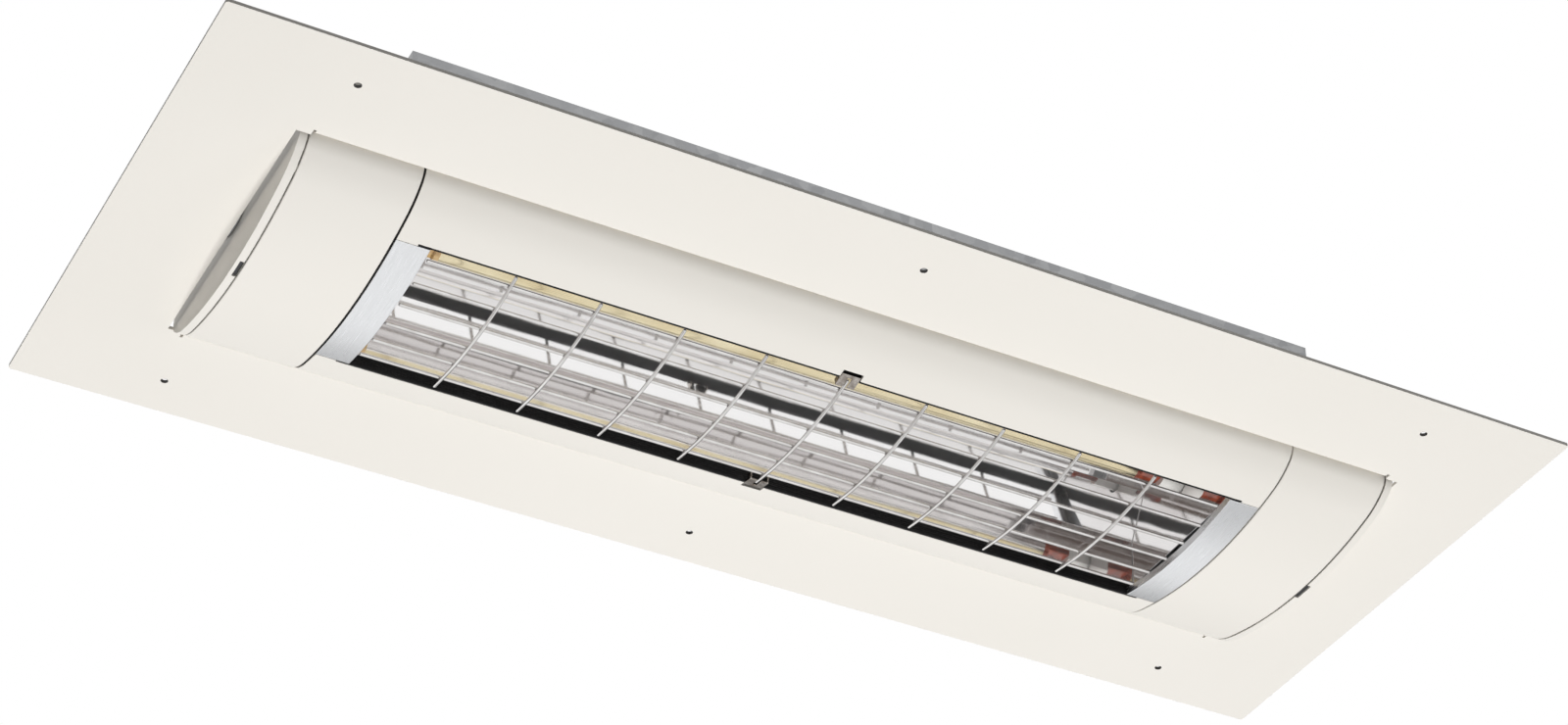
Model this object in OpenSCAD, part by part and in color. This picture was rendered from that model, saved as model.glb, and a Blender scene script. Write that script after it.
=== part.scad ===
// Recessed infrared heater for a ceiling: a lamp heater in a frame plate under a sheet metal channel.
// The origin is the middle of the frame plate's ceiling face. +X is along the heater and +Z goes up.

/* [Frame plate] */
// Width of the plate beyond each end of its cut-out
border_l = 65; // [50:1:100]
// Width of the plate beyond each long edge of its cut-out
border_w = 73.6; // [60:0.2:100]
// Sheet thickness of the plate
plate_t = 2; // [1.5:0.1:2.5]
// Corner radius of the plate
plate_corner_r = 1.5; // [1:0.5:6]
// Distance from the outer screw holes to the end edges
screw_inset_l = 79.5; // [70:0.5:90]
// Distance from the screw holes to the long edges
screw_inset_w = 28; // [15:1:40]
// Diameter of the ceiling screw holes
screw_hole_d = 4; // [3:0.5:6]
// Height of the folded lips beside the heater
lip_h = 16; // [12:1:20]
// How much the outer radius of the lips' fold exceeds both sheets together
fold_room = 0.1; // [0.1:0.1:1]
// Distance from the end of a lip to the end of the cut-out
lip_setback = 9.5; // [6:0.5:16]
// Width of the relief slots at the lip ends
relief_w = 1.6; // [1:0.1:3]
// Depth of the relief slots beyond the lips
relief_d = 0.6; // [0.3:0.1:2]

/* [Recess channel] */
// Distance from the end of the body to the open end of the channel
channel_setback = 54.8; // [35:0.2:80]
// Height of the channel's top above the body's back
channel_rise = 13.7; // [13.5:0.1:30]
// Sheet thickness of the channel
channel_t = 1.5; // [1:0.1:2]
// Depth of the stiffening folds at the channel's open ends
channel_fold = 5; // [3:0.5:8]

/* [Heater body] */
// Length of the heater body over its end caps
body_l = 665; // [650:1:690]
// Width of the heater body
body_w = 184; // [176:1:200]
// How far the body hangs below the ceiling face
body_drop = 25.5; // [20:0.5:32]
// Height of the body's flat back above the ceiling face
body_top_z = 58; // [56:0.5:62]
// Radius of the wide curve of the body's face
face_r = 262; // [240:1:320]
// Distance from the edge of the wide curve to the body's side
shoulder_w = 22; // [18:1:26]
// Radius of the shoulders beside the wide curve
shoulder_r = 50; // [40:1:60]
// Angle at which the shoulders meet the lower corners
shoulder_turn = 38; // [34:1:44]
// Radius of the body's upper corners
back_corner_r = 12; // [6:1:18]
// Wall thickness of housing, sleeves and caps
wall_t = 2; // [1.6:0.1:2.4]
// Distance from the body's end to the seam of its sleeve
sleeve_l = 68.05; // [66:0.5:72]
// Width of the sleeve seam
sleeve_seam_w = 1.1; // [0.8:0.1:2]
// Width of the rim that each end cap shows
cap_rim = 4.25; // [4:0.25:8]
// Width of the seam between cap and sleeve
cap_seam_w = 0.9; // [0.6:0.1:2]
// Thickness of the end cap's face
cap_face_t = 3; // [2.5:0.1:3.5]
// Length of the latch slot in each cap rim
latch_slot_l = 13; // [8:1:20]
// How far the latch slot reaches into the rim
latch_slot_w = 2.1; // [1.5:0.1:3]
// Offset of the latch slot from the middle
latch_slot_y = -2; // [-6:1:6]

/* [Window and guard] */
// Distance from the body's side to the edge of the window
window_inset = 36.9; // [34:0.5:40]
// Width of the curved trims beside the sleeves
trim_w = 19.65; // [17:0.5:22]
// Thickness of the curved trims
trim_t = 1.8; // [1.2:0.1:1.9]
// Height of the black liners beside the window
liner_h = 8; // [6:0.5:10]
// Thickness of the liners
liner_t = 1.3; // [1:0.1:1.6]
// Diameter of the guard wires
wire_d = 2; // [1.6:0.1:2.4]
// Number of wires across the window
cross_wires = 9; // [7:2:13]
// Number of wires along the window
long_wires = 6; // [4:2:8]
// Distance from the window's edge to the outer long wires
long_inset = 10.1; // [8:0.1:14]
// Gap from a wire tip to the liner
wire_tip_gap = 1.1; // [0.6:0.1:2]
// Gap from the end of a long wire to the trim
wire_end_gap = 1.8; // [1:0.1:4]
// Width of the guard clips
clip_w = 11.4; // [9:0.2:14]
// How far a clip reaches into the window
clip_reach = 5.4; // [4:0.2:6]
// Height of the ears on a clip
clip_ear_h = 4.4; // [3:0.2:6]

/* [Reflector] */
// Thickness of the reflector sheet
reflector_t = 0.8; // [0.5:0.1:1]
// How far the trough narrows, on each side, from the window to where it starts to close
trough_taper = 1.9; // [0.5:0.1:3]
// Distance from the trough's back to the body's back
trough_back_gap = 14.1; // [12:0.1:16]
// Depth of the part of the trough that closes
trough_close_h = 26.4; // [20:0.2:30]
// How much the trough narrows in that part, on each side
trough_close_w = 16.8; // [12:0.2:22]
// Depth of the ridge behind the lamp
ridge_drop = 3; // [1:0.5:6]
// Thickness of the end mirrors
end_mirror_t = 0.8; // [0.5:0.1:1.2]

/* [Lamp] */
// Distance from the lamp's axis to the trough's back
lamp_gap = 16.3; // [14:0.1:20]
// Diameter of the lamp tube
lamp_d = 10.4; // [9:0.2:12]
// Wall thickness of the lamp tube
lamp_wall = 1; // [0.8:0.1:1.4]
// Distance from the trims to the end of the lamp's coated tube
lamp_inset = 25.8; // [22:0.2:36]
// Length of each flattened end
pinch_l = 17; // [12:1:20]
// Length of each ceramic base
lamp_base_l = 26; // [22:1:30]
// Diameter of the heating coil inside the lamp
filament_d = 2.4; // [1.5:0.1:4]

/* [Lamp holders] */
// Length of a ceramic lamp holder
holder_l = 30; // [28:1:36]
// Width and height of a lamp holder
holder_w = 22; // [20:1:28]
// Diameter of the contact pin
pin_d = 4; // [3:0.2:5]
// How far the contact pin can be pressed back
pin_travel = 2; // [1:0.5:3]
// Wire thickness of the contact spring
spring_wire_d = 0.8; // [0.6:0.1:1]
// Turns of the contact spring
spring_turns = 6; // [4:1:8]

/* [Electrical parts] */
// Distance from the body's end to the cable gland
gland_inset_l = 32.5; // [26:0.5:38]
// Distance from the body's far side to the cable gland
gland_inset_w = 42; // [32:1:50]
// Diameter of the cable that the gland takes
cable_d = 9; // [7:0.5:10]
// Thread diameter of the gland
gland_thread_d = 16; // [15:1:20]
// Height of the gland above the body
gland_h = 13; // [11:0.5:13.5]
// Diameter of the inner leads
lead_d = 2.6; // [2:0.2:3.2]
// Length of the terminal block
block_l = 34; // [28:1:40]

/* [Fixings] */
// Diameter of the channel rivets
rivet_d = 4; // [3:0.2:5]
// Thickness of the end brackets
bracket_t = 1.5; // [1.2:0.1:2]
// Width of the end brackets
bracket_w = 40; // [30:1:44]
// Length of a bracket's strap under the channel
bracket_lap = 62; // [50:1:90]
// Diameter of the pivot discs on the end caps
disc_d = 53; // [46:1:58]
// Thickness of the pivot discs
disc_t = 1.1; // [0.8:0.1:1.2]
// Diameter of the pivot bolts
bolt_d = 6; // [5:0.5:8]

/* [Hidden] */
$fn = 48;

// Overrun of every cut past the face that it opens
over = 1;
// Small gap between fixed pieces that seat on each other
fit = 0.1;
// Radial clearance round screws, bolts and rivets
screw_fit = 0.05;
// Radial running clearance of the contact pins
pin_fit = 0.05;
// Gap between the body's side and the folded lip
side_gap = 0.4;
// Gap between the body's end and the end of the cut-out
end_gap = 2.5;
// How deep pieces of one welded or folded solid run into each other
lap = 0.6;
// How deep crossing guard wires are welded into each other
weld_sink = 0.2;

// Steps of the arcs in the body's outline, as counts
face_steps = 10;
shoulder_steps = 6;
corner_steps = 8;
back_steps = 8;
fold_steps = 6;

body_half = body_w / 2;
end_x = body_l / 2;
bottom_z = -body_drop;
face_half = body_half - shoulder_w;
face_cz = bottom_z + face_r;
face_turn = asin(face_half / face_r);
shoulder_cy = (face_r - shoulder_r) * sin(face_turn);
shoulder_cz = face_cz - (face_r - shoulder_r) * cos(face_turn);
corner_r = (body_half - shoulder_cy - shoulder_r * sin(shoulder_turn)) / (1 - sin(shoulder_turn));
corner_cy = shoulder_cy + (shoulder_r - corner_r) * sin(shoulder_turn);
corner_cz = shoulder_cz - (shoulder_r - corner_r) * cos(shoulder_turn);

cutout_half = body_half + side_gap;
cutout_x = end_x + end_gap;
lip_x = cutout_x - lip_setback;
lip_bend_r = plate_t + channel_t + fold_room;
plate_l = 2 * (cutout_x + border_l);
plate_w = 2 * (cutout_half + border_w);
screw_pitch_x = plate_l - 2 * screw_inset_l;
screw_pitch_y = plate_w - 2 * screw_inset_w;

channel_half = cutout_half + plate_t;
channel_x = end_x - channel_setback;
channel_l = 2 * channel_x;
channel_top_z = body_top_z + channel_rise;
channel_under_z = channel_top_z - channel_t;

sleeve_seam_x = end_x - sleeve_l;
trim_x = sleeve_seam_x - trim_w;
window_half = body_half - window_inset;
trough_back_z = body_top_z - trough_back_gap;
trough_knee_z = trough_back_z - trough_close_h;
trough_half = window_half - trough_taper;
trough_back_half = trough_half - trough_close_w;
lamp_z = trough_back_z - lamp_gap;

housing_x = sleeve_seam_x - sleeve_seam_w / 2;
sleeve_x = sleeve_seam_x + sleeve_seam_w / 2;
cap_x = end_x - cap_rim;
sleeve_end_x = cap_x - cap_seam_w;
cap_face_x = end_x - cap_face_t;

// Height of the body's curved face at a distance y from the middle, and depth s under the surface
function skin_z(y, s) = face_cz - sqrt((face_r - s) * (face_r - s) - y * y);

// Points of an arc round (cy, cz), with angles counted from straight down
function arc(cy, cz, r, from, to, steps, first = 0) =
    [for (i = [first:steps]) let (a = from + (to - from) * i / steps) [cy + r * sin(a), cz - r * cos(a)]];

// Half of the body's outline at a depth s under its surface, from the bottom middle to the back
function half_outline(s) = concat(
    arc(0, face_cz, face_r - s, 0, face_turn, face_steps),
    arc(shoulder_cy, shoulder_cz, shoulder_r - s, face_turn, shoulder_turn, shoulder_steps, 1),
    arc(corner_cy, corner_cz, corner_r - s, shoulder_turn, 90, corner_steps, 1),
    arc(body_half - back_corner_r, body_top_z - back_corner_r, back_corner_r - s, 90, 180, back_steps)
);

// The other half of a symmetric outline, in reverse order and without the point on the middle line
function mirrored(points) = [for (i = [len(points) - 1:-1:1]) [-points[i][0], points[i][1]]];
function outline(s) = concat(half_outline(s), mirrored(half_outline(s)));

// Direction at right angles to the line from a to b, to its left
function left_of(a, b) = let (d = b - a) [-d[1], d[0]] / norm(d);

// Offset of a corner between two sheet legs, so that both legs keep the thickness t
function corner_shift(n1, n2, t) = t * (n1 + n2) / (1 + n1 * n2);

// Closed outline of a sheet of thickness t that lies to the left of an open line of points
function sheet_outline(points, t) = let (last = len(points) - 1) concat(points, [
    for (i = [last:-1:0])
        i == last ? points[i] + t * left_of(points[i - 1], points[i]) :
        i == 0 ? points[i] + t * left_of(points[i], points[i + 1]) :
        points[i] + corner_shift(left_of(points[i - 1], points[i]), left_of(points[i], points[i + 1]), t)
]);

// Extrudes an outline drawn in Y and Z along X, from one place to another
module along_x(from, to) {
    translate([from, 0, 0]) rotate([90, 0, 90]) linear_extrude(to - from) children();
}

// Puts a piece that is drawn for the +X end at the left or right end
module at_end(side) {
    if (side < 0) mirror([1, 0, 0]) children();
    else children();
}

// Puts a piece that is drawn for the far side at the near or far side
module at_edge(side) {
    if (side < 0) mirror([0, 1, 0]) children();
    else children();
}

// A cylinder along X, from one place to another
module rod_x(from, to, d) {
    translate([from, 0, 0]) rotate([0, 90, 0]) cylinder(d = d, h = to - from);
}

// A band of the body's outline between two depths under the surface
module outline_band(outer, inner) {
    difference() {
        polygon(outline(outer));
        polygon(outline(inner));
    }
}

// A flat rivet or screw head with a low dome, standing on the z = 0 plane
module low_head(d, h) {
    cylinder(d = d, h = h / 2);
    translate([0, 0, h / 2]) cylinder(d1 = d, d2 = d * head_top_share, h = h / 2);
}
head_top_share = 0.7;

// Frame plate with its folded lips

module plate_blank() {
    long = plate_l / 2 - plate_corner_r;
    wide = plate_w / 2 - plate_corner_r;
    linear_extrude(plate_t) union() {
        square([plate_l, 2 * wide], center = true);
        square([2 * long, plate_w], center = true);
        for (x = [-long, long], y = [-wide, wide]) translate([x, y]) circle(r = plate_corner_r);
    }
}

// Section of a lip: it leaves the plate at right angles through a round fold
function lip_section() = let (
    inner_r = lip_bend_r - plate_t,
    cy = cutout_half + lip_bend_r,
    cz = lip_bend_r - plate_t
) concat(
    [[cy + lap, -plate_t]],
    arc(cy, cz, lip_bend_r, 0, -90, fold_steps),
    [[cutout_half, lip_h], [cutout_half + plate_t, lip_h]],
    arc(cy, cz, inner_r, -90, 0, fold_steps),
    [[cy + lap, 0]]
);

module frame_plate() {
    fold_edge = cutout_half + lip_bend_r;
    color("ivory") {
        difference() {
            translate([0, 0, -plate_t]) plate_blank();
            translate([0, 0, -plate_t / 2]) {
                cube([2 * cutout_x, 2 * cutout_half, plate_t + 2 * over], center = true);
                cube([2 * lip_x, 2 * fold_edge, plate_t + 2 * over], center = true);
                for (x = [-1, 1], y = [-1, 1])
                    translate([x * (lip_x + relief_w / 2), y * cutout_half, 0])
                        cube([relief_w, 2 * (lip_bend_r + relief_d), plate_t + 2 * over], center = true);
            }
            for (x = [-screw_pitch_x / 2, 0, screw_pitch_x / 2], y = [-screw_pitch_y / 2, screw_pitch_y / 2])
                translate([x, y, -plate_t - over]) cylinder(d = screw_hole_d, h = plate_t + 2 * over);
        }
        for (side = [-1, 1]) at_edge(side) difference() {
            along_x(-lip_x, lip_x) polygon(lip_section());
            rivet_bores();
        }
    }
}

// Channel over the heater, and its rivets

rivet_height_share = 0.6;
rivet_z = lip_h * rivet_height_share;
rivet_head_d = 1.9 * rivet_d;
rivet_head_h = 0.6 * plate_t;
rivet_place_share = 0.86;
rivet_places = [-channel_x * rivet_place_share, 0, channel_x * rivet_place_share];
rivet_shank_d = rivet_d;

module rivet_bores() {
    for (x = rivet_places)
        translate([x, cutout_half - over, rivet_z]) rotate([-90, 0, 0])
            cylinder(d = rivet_shank_d + 2 * screw_fit, h = plate_t + channel_t + 2 * over);
}

module recess_channel() {
    wall_from_z = lip_bend_r - plate_t;
    fold_from_z = body_top_z + fold_clear;
    color("lightgray") difference() {
        union() {
            translate([-channel_x, -channel_half - channel_t, channel_under_z])
                cube([channel_l, 2 * (channel_half + channel_t), channel_t]);
            for (side = [-1, 1]) at_edge(side) {
                translate([-channel_x, channel_half, wall_from_z])
                    cube([channel_l, channel_t, channel_top_z - wall_from_z]);
                for (x = [-channel_x, channel_x - channel_t])
                    translate([x, channel_half - channel_fold, fold_from_z])
                        cube([channel_t, channel_fold + channel_t, channel_top_z - fold_from_z]);
            }
        }
        for (side = [-1, 1]) at_edge(side) rivet_bores();
        for (side = [-1, 1]) at_end(side) bracket_bores();
    }
}
// Clearance between the body's back and the folds at the channel's ends
fold_clear = 1;

module channel_rivets() {
    shank_l = plate_t + channel_t;
    color("silver") for (side = [-1, 1]) at_edge(side) for (x = rivet_places)
        translate([x, channel_half + channel_t, rivet_z]) rotate([-90, 0, 0]) {
            translate([0, 0, -shank_l]) cylinder(d = rivet_shank_d, h = shank_l);
            low_head(rivet_head_d, rivet_head_h);
        }
}

// Brackets that carry the heater body from the channel, one at each end

arm_x = end_x + disc_t + screw_fit;
strap_x = channel_x - bracket_lap;
strap_top_z = channel_under_z;
bracket_bend_r = 2 * bracket_t;
bracket_bolt_xs = [strap_x + bracket_w / 4, channel_x - bracket_w / 4];

// Section of the bracket in X and Z: the strap, the round fold and the arm
function bracket_section() = let (
    cx = arm_x + bracket_t - bracket_bend_r,
    cz = strap_top_z - bracket_bend_r
) concat(
    [[strap_x, strap_top_z - bracket_t]],
    arc(cx, cz, bracket_bend_r - bracket_t, 180, 90, fold_steps),
    [[arm_x, lamp_z], [arm_x + bracket_t, lamp_z]],
    arc(cx, cz, bracket_bend_r, 90, 180, fold_steps),
    [[strap_x, strap_top_z]]
);

module bracket_bores() {
    for (x = bracket_bolt_xs)
        translate([x, 0, strap_top_z - bracket_t - over])
            cylinder(d = rivet_shank_d + 2 * screw_fit, h = bracket_t + channel_t + 2 * over);
}

module end_bracket(side) {
    color("gainsboro") at_end(side) difference() {
        union() {
            translate([0, bracket_w / 2, 0]) rotate([90, 0, 0])
                linear_extrude(bracket_w) polygon(bracket_section());
            translate([0, 0, lamp_z]) rod_x(arm_x, arm_x + bracket_t, bracket_w);
        }
        bracket_bores();
        translate([0, 0, lamp_z]) rod_x(arm_x - over, arm_x + bracket_t + over, bolt_d + 2 * screw_fit);
    }
}

module bracket_rivets() {
    shank_l = bracket_t + channel_t;
    color("silver") for (side = [-1, 1]) at_end(side) for (x = bracket_bolt_xs)
        translate([x, 0, channel_top_z]) {
            translate([0, 0, -shank_l]) cylinder(d = rivet_shank_d, h = shank_l);
            translate([0, 0, -shank_l]) mirror([0, 0, 1]) low_head(rivet_head_d, rivet_head_h);
            low_head(rivet_head_d, rivet_head_h / 2);
        }
}

module pivot_disc(side) {
    color("gainsboro") at_end(side) translate([0, 0, lamp_z]) difference() {
        rod_x(end_x, end_x + disc_t, disc_d);
        rod_x(end_x - over, end_x + disc_t + over, bolt_d + 2 * screw_fit);
    }
}

bolt_head_d = 1.8 * bolt_d;
bolt_head_h = 0.5 * bolt_d;
bolt_grip = 2 * bolt_d;
bolt_boss_d = 2.6 * bolt_d;
socket_share = 0.5;

module pivot_bolts() {
    head_x = arm_x + bracket_t;
    color("dimgray") for (side = [-1, 1]) at_end(side) translate([0, 0, lamp_z]) difference() {
        union() {
            rod_x(end_x - bolt_grip, head_x, bolt_d);
            rod_x(head_x, head_x + bolt_head_h, bolt_head_d);
        }
        translate([head_x + bolt_head_h * socket_share, 0, 0]) rotate([0, 90, 0])
            cylinder(d = bolt_head_d * socket_share, h = bolt_head_h, $fn = 6);
    }
}

// Heater body: extruded housing in the middle, cast sleeves and caps at the ends

window_cut_half = window_half + liner_t + fit;
trim_to_mirror = 5.2;
mirror_x = trim_x + trim_to_mirror;
bulkhead_gap = 1.2;
bulkhead_x = mirror_x + end_mirror_t + bulkhead_gap;
bulkhead_t = 1.5;
bulkhead_grip = 11;
bulkhead_flange = sleeve_x - bulkhead_x + bulkhead_grip;
trim_edge_gap = 0.4;
clip_notch_half = clip_w / 2 + trim_edge_gap;
clip_root = 4.4;

module centre_housing() {
    color("ivory") difference() {
        along_x(-housing_x, housing_x) outline_band(0, wall_t);
        translate([-housing_x - over, -window_half - fit, bottom_z - over])
            cube([2 * (housing_x + over), 2 * (window_half + fit), body_drop]);
        translate([-bulkhead_x, -window_cut_half, bottom_z - over])
            cube([2 * bulkhead_x, 2 * window_cut_half, body_drop]);
        translate([-clip_notch_half, -window_cut_half - clip_root, bottom_z - over])
            cube([2 * clip_notch_half, 2 * (window_cut_half + clip_root), body_drop]);
    }
}

module end_sleeve(side) {
    color("ivory") at_end(side) difference() {
        along_x(sleeve_x, sleeve_end_x) outline_band(0, wall_t);
        if (side > 0) translate([gland_x, gland_y, body_top_z - wall_t - over])
            cylinder(d = gland_thread_d + 2 * fit, h = wall_t + 2 * over);
    }
}

seam_recess = 0.7;

module seam_gaskets() {
    color("black") for (side = [-1, 1]) at_end(side)
        along_x(housing_x, sleeve_x) outline_band(seam_recess, wall_t);
}

module cap_gaskets() {
    color("black") for (side = [-1, 1]) at_end(side)
        along_x(sleeve_end_x, cap_x) outline_band(seam_recess, wall_t);
}

spigot_l = 9;
spigot_t = 1.5;
spigot_s = wall_t + fit;

// Latch: its head fills the slot in the cap's rim, and its tail lies inside the spigot
latch_sink = 0.9;
latch_tail_l = 7;
latch_tail_t = 1.6;
latch_tail_s = spigot_s + spigot_t + fit;

// Room round a latch from one place to the end of its slot, wider than the latch by a gap
module latch_room(from, gap) {
    translate([from - gap, latch_slot_y - latch_slot_l / 2 - gap, bottom_z - over])
        cube([cap_x + latch_slot_w - from + 2 * gap, latch_slot_l + 2 * gap, over + 2 * latch_tail_s]);
}

cap_screw_d = 4;
cap_screw_inset = 22;
cap_screw_low_z = 10;
cap_screw_drop = 16;
cap_screw_y = body_half - cap_screw_inset;
cap_screw_zs = [cap_screw_low_z, body_top_z - cap_screw_drop];
cap_boss_d = 8;

module cap_screw_places() {
    for (y = [-cap_screw_y, cap_screw_y], z = cap_screw_zs) translate([0, y, z]) children();
}

module end_cap(side) {
    color("ivory") at_end(side) difference() {
        union() {
            along_x(cap_face_x, end_x) polygon(outline(0));
            along_x(cap_x, cap_face_x + lap) outline_band(0, spigot_s + spigot_t);
            along_x(cap_x - spigot_l, cap_face_x + lap) outline_band(spigot_s, spigot_s + spigot_t);
            translate([0, 0, lamp_z]) rod_x(end_x - bolt_grip - wall_t, cap_face_x + lap, bolt_boss_d);
            cap_screw_places() rod_x(cap_face_x - spigot_l, cap_face_x + lap, cap_boss_d);
        }
        latch_room(cap_x, fit);
        translate([0, 0, lamp_z]) rod_x(end_x - bolt_grip - screw_fit, end_x + over, bolt_d + 2 * screw_fit);
        cap_screw_places() rod_x(cap_face_x - spigot_l - over, end_x + over, cap_screw_d + 2 * screw_fit);
    }
}

cap_head_d = 7.4;
cap_head_h = 1.6;

module cap_screws() {
    color("silver") for (side = [-1, 1]) at_end(side) cap_screw_places() difference() {
        union() {
            rod_x(cap_face_x - spigot_l, end_x, cap_screw_d);
            translate([end_x, 0, 0]) rotate([0, 90, 0]) low_head(cap_head_d, cap_head_h);
        }
        translate([end_x + cap_head_h * socket_share, 0, 0]) rotate([0, 90, 0])
            cylinder(d = cap_screw_d * socket_share, h = cap_head_h, $fn = 6);
    }
}

module cap_latches() {
    color("black") for (side = [-1, 1]) at_end(side) intersection() {
        latch_room(cap_x - latch_tail_l, 0);
        union() {
            along_x(cap_x, cap_x + latch_slot_w) outline_band(latch_sink, latch_tail_s + latch_tail_t);
            along_x(cap_x - latch_tail_l, cap_x + lap)
                outline_band(latch_tail_s, latch_tail_s + latch_tail_t);
        }
    }
}

// Bulkheads join housing and sleeves inside, and carry the lamp holders

lamp_hole_d = lamp_d + 3.6;
lead_run_inset = 36;
lead_run_drop = 9;
lead_run_y = lead_run_inset - body_half;
lead_run_z = body_top_z - lead_run_drop;
grommet_d = lead_d + 4;

module bulkhead(side) {
    s = wall_t + fit;
    color("silver") at_end(side) difference() {
        union() {
            along_x(bulkhead_x, bulkhead_x + bulkhead_t) polygon(outline(s));
            along_x(bulkhead_x, bulkhead_x + bulkhead_flange) outline_band(s, s + bulkhead_t);
        }
        translate([0, 0, lamp_z]) rod_x(bulkhead_x - over, bulkhead_x + bulkhead_t + over, lamp_hole_d);
        translate([0, lead_run_y, lead_run_z])
            rod_x(bulkhead_x - over, bulkhead_x + bulkhead_t + over, grommet_d - 2 * grommet_lip);
        if (side > 0) translate([0, block_y, earth_z])
            rod_x(bulkhead_x - over, bulkhead_x + bulkhead_t + over, earth_screw_d + 2 * screw_fit);
    }
}
grommet_lip = 0.8;

module lead_grommets() {
    color("black") for (side = [-1, 1]) at_end(side) translate([0, lead_run_y, lead_run_z]) difference() {
        union() {
            rod_x(bulkhead_x - grommet_lip, bulkhead_x, grommet_d);
            rod_x(bulkhead_x - grommet_lip, bulkhead_x + bulkhead_t + grommet_lip,
                grommet_d - 2 * grommet_lip - 2 * screw_fit);
            rod_x(bulkhead_x + bulkhead_t, bulkhead_x + bulkhead_t + grommet_lip, grommet_d);
        }
        rod_x(bulkhead_x - grommet_lip - over, bulkhead_x + bulkhead_t + grommet_lip + over, lead_d + 2 * fit);
    }
}

// Curved trims at the window's ends, with their inner edge folded up

trim_fold_h = 5;
trim_fold_t = 1.2;

module trim(side) {
    half = window_half - trim_edge_gap + fit;
    color("whitesmoke") at_end(side) {
        intersection() {
            union() {
                along_x(trim_x, housing_x) outline_band(0, trim_t);
                along_x(trim_x, trim_x + trim_fold_t) outline_band(0, trim_fold_h);
            }
            translate([trim_x, -half, bottom_z - over]) cube([housing_x - trim_x, 2 * half, body_drop]);
        }
    }
}

// Liners: black ribbed flanges that line the long edges of the window

liner_bottom = 0.35;
liner_rib = 0.3;
liner_ribs = 5;
liner_shelf = 9.4;
liner_foot = 1.5;
liner_top_z = skin_z(window_half, 0) + liner_h;
liner_out = window_half + liner_t;

function liner_section() = [
    [window_half, skin_z(window_half, liner_bottom)],
    [liner_out, skin_z(liner_out, liner_bottom)],
    [liner_out, liner_top_z - liner_t],
    [liner_out + liner_shelf - liner_foot, liner_top_z - liner_t],
    [liner_out + liner_shelf - liner_foot, skin_z(liner_out + liner_shelf - liner_foot, wall_t + fit)],
    [liner_out + liner_shelf, skin_z(liner_out + liner_shelf, wall_t + fit)],
    [liner_out + liner_shelf, liner_top_z],
    [window_half, liner_top_z]
];

module liner(side) {
    length_half = bulkhead_x - fit;
    rib_pitch = liner_h / (liner_ribs + 1);
    color("black") at_edge(side) difference() {
        union() {
            along_x(-length_half, length_half) polygon(liner_section());
            for (i = [1:liner_ribs])
                translate([-length_half, window_half - liner_rib, liner_top_z - i * rib_pitch - liner_rib])
                    cube([2 * length_half, liner_rib + lap, 2 * liner_rib]);
        }
        translate([-clip_notch_half, window_half - over, bottom_z])
            cube([2 * clip_notch_half, liner_t + 2 * over, skin_z(liner_out, clip_room) - bottom_z]);
        at_end(1) trim_room();
        at_end(-1) trim_room();
    }
}
clip_room = 1.6;

// Cuts the liner's ribs back where the trims pass them
module trim_room() {
    translate([trim_x - fit, window_half - liner_rib - over, bottom_z])
        cube([bulkhead_x - trim_x + over, liner_rib + over, body_drop]);
}

// Reflector trough, its end mirrors and the heat shield above it

lip_reach = 4.6;
mouth_z = liner_top_z + fit;
mouth_half = window_half;
trough_mid_half = (mouth_half + trough_half) / 2;
trough_mid_z = (mouth_z + trough_knee_z) / 2;

// One side of the trough from its lip to the ridge behind the lamp
function trough_side() = [
    [mouth_half + lip_reach, mouth_z],
    [mouth_half, mouth_z],
    [trough_mid_half, trough_mid_z],
    [trough_half, trough_knee_z],
    [trough_back_half, trough_back_z],
    [0, trough_back_z - ridge_drop]
];
function trough_line() = concat(
    [for (p = trough_side()) p],
    [for (i = [len(trough_side()) - 2:-1:0]) [-trough_side()[i][0], trough_side()[i][1]]]
);

module reflector() {
    half = mirror_x - fit;
    color("white") along_x(-half, half) polygon(sheet_outline(trough_line(), -reflector_t));
}

// The end mirrors fill the trough's section, with a hole for the lamp's base
mirror_over = 1.2;

module end_mirror(side) {
    line = trough_line();
    section = [for (i = [1:len(line) - 2]) line[i] + [0, line[i][1] > trough_mid_z ? mirror_over : 0]];
    color("white") at_end(side) difference() {
        along_x(mirror_x, mirror_x + end_mirror_t) polygon(section);
        translate([0, 0, lamp_z]) rod_x(mirror_x - over, mirror_x + end_mirror_t + over, lamp_hole_d);
    }
}

shield_inset = 4.2;
shield_drop = 7;
shield_half = trough_half - shield_inset;
shield_z = body_top_z - shield_drop;
shield_leg = 12;
shield_t = 0.8;

module heat_shield() {
    half = bulkhead_x - fit;
    line = [[-shield_half, shield_z - shield_leg], [-shield_half, shield_z],
        [shield_half, shield_z], [shield_half, shield_z - shield_leg]];
    color("gainsboro") along_x(-half, half) polygon(sheet_outline(line, shield_t));
}

// Lamp: coated tube, heating coil, flattened ends and ceramic bases

tube_x = trim_x - lamp_inset;
pinch_x = tube_x + pinch_l;
lamp_end_x = pinch_x + lamp_base_l;
pinch_neck = 3;
pinch_t = 3.4;
pinch_w = 9.8;
base_w = 8.4;
base_d = 11.2;
filament_lead = 12;
filament_lead_d = 0.8;

module lamp_tube() {
    color("goldenrod") translate([0, 0, lamp_z]) difference() {
        rod_x(-tube_x, tube_x, lamp_d);
        rod_x(-tube_x - over, tube_x + over, lamp_d - 2 * lamp_wall);
    }
}

module lamp_filament() {
    coil_x = tube_x - filament_lead;
    color("orange") translate([0, 0, lamp_z]) {
        rod_x(-coil_x, coil_x, filament_d);
        rod_x(-tube_x, tube_x, filament_lead_d);
    }
}

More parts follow.
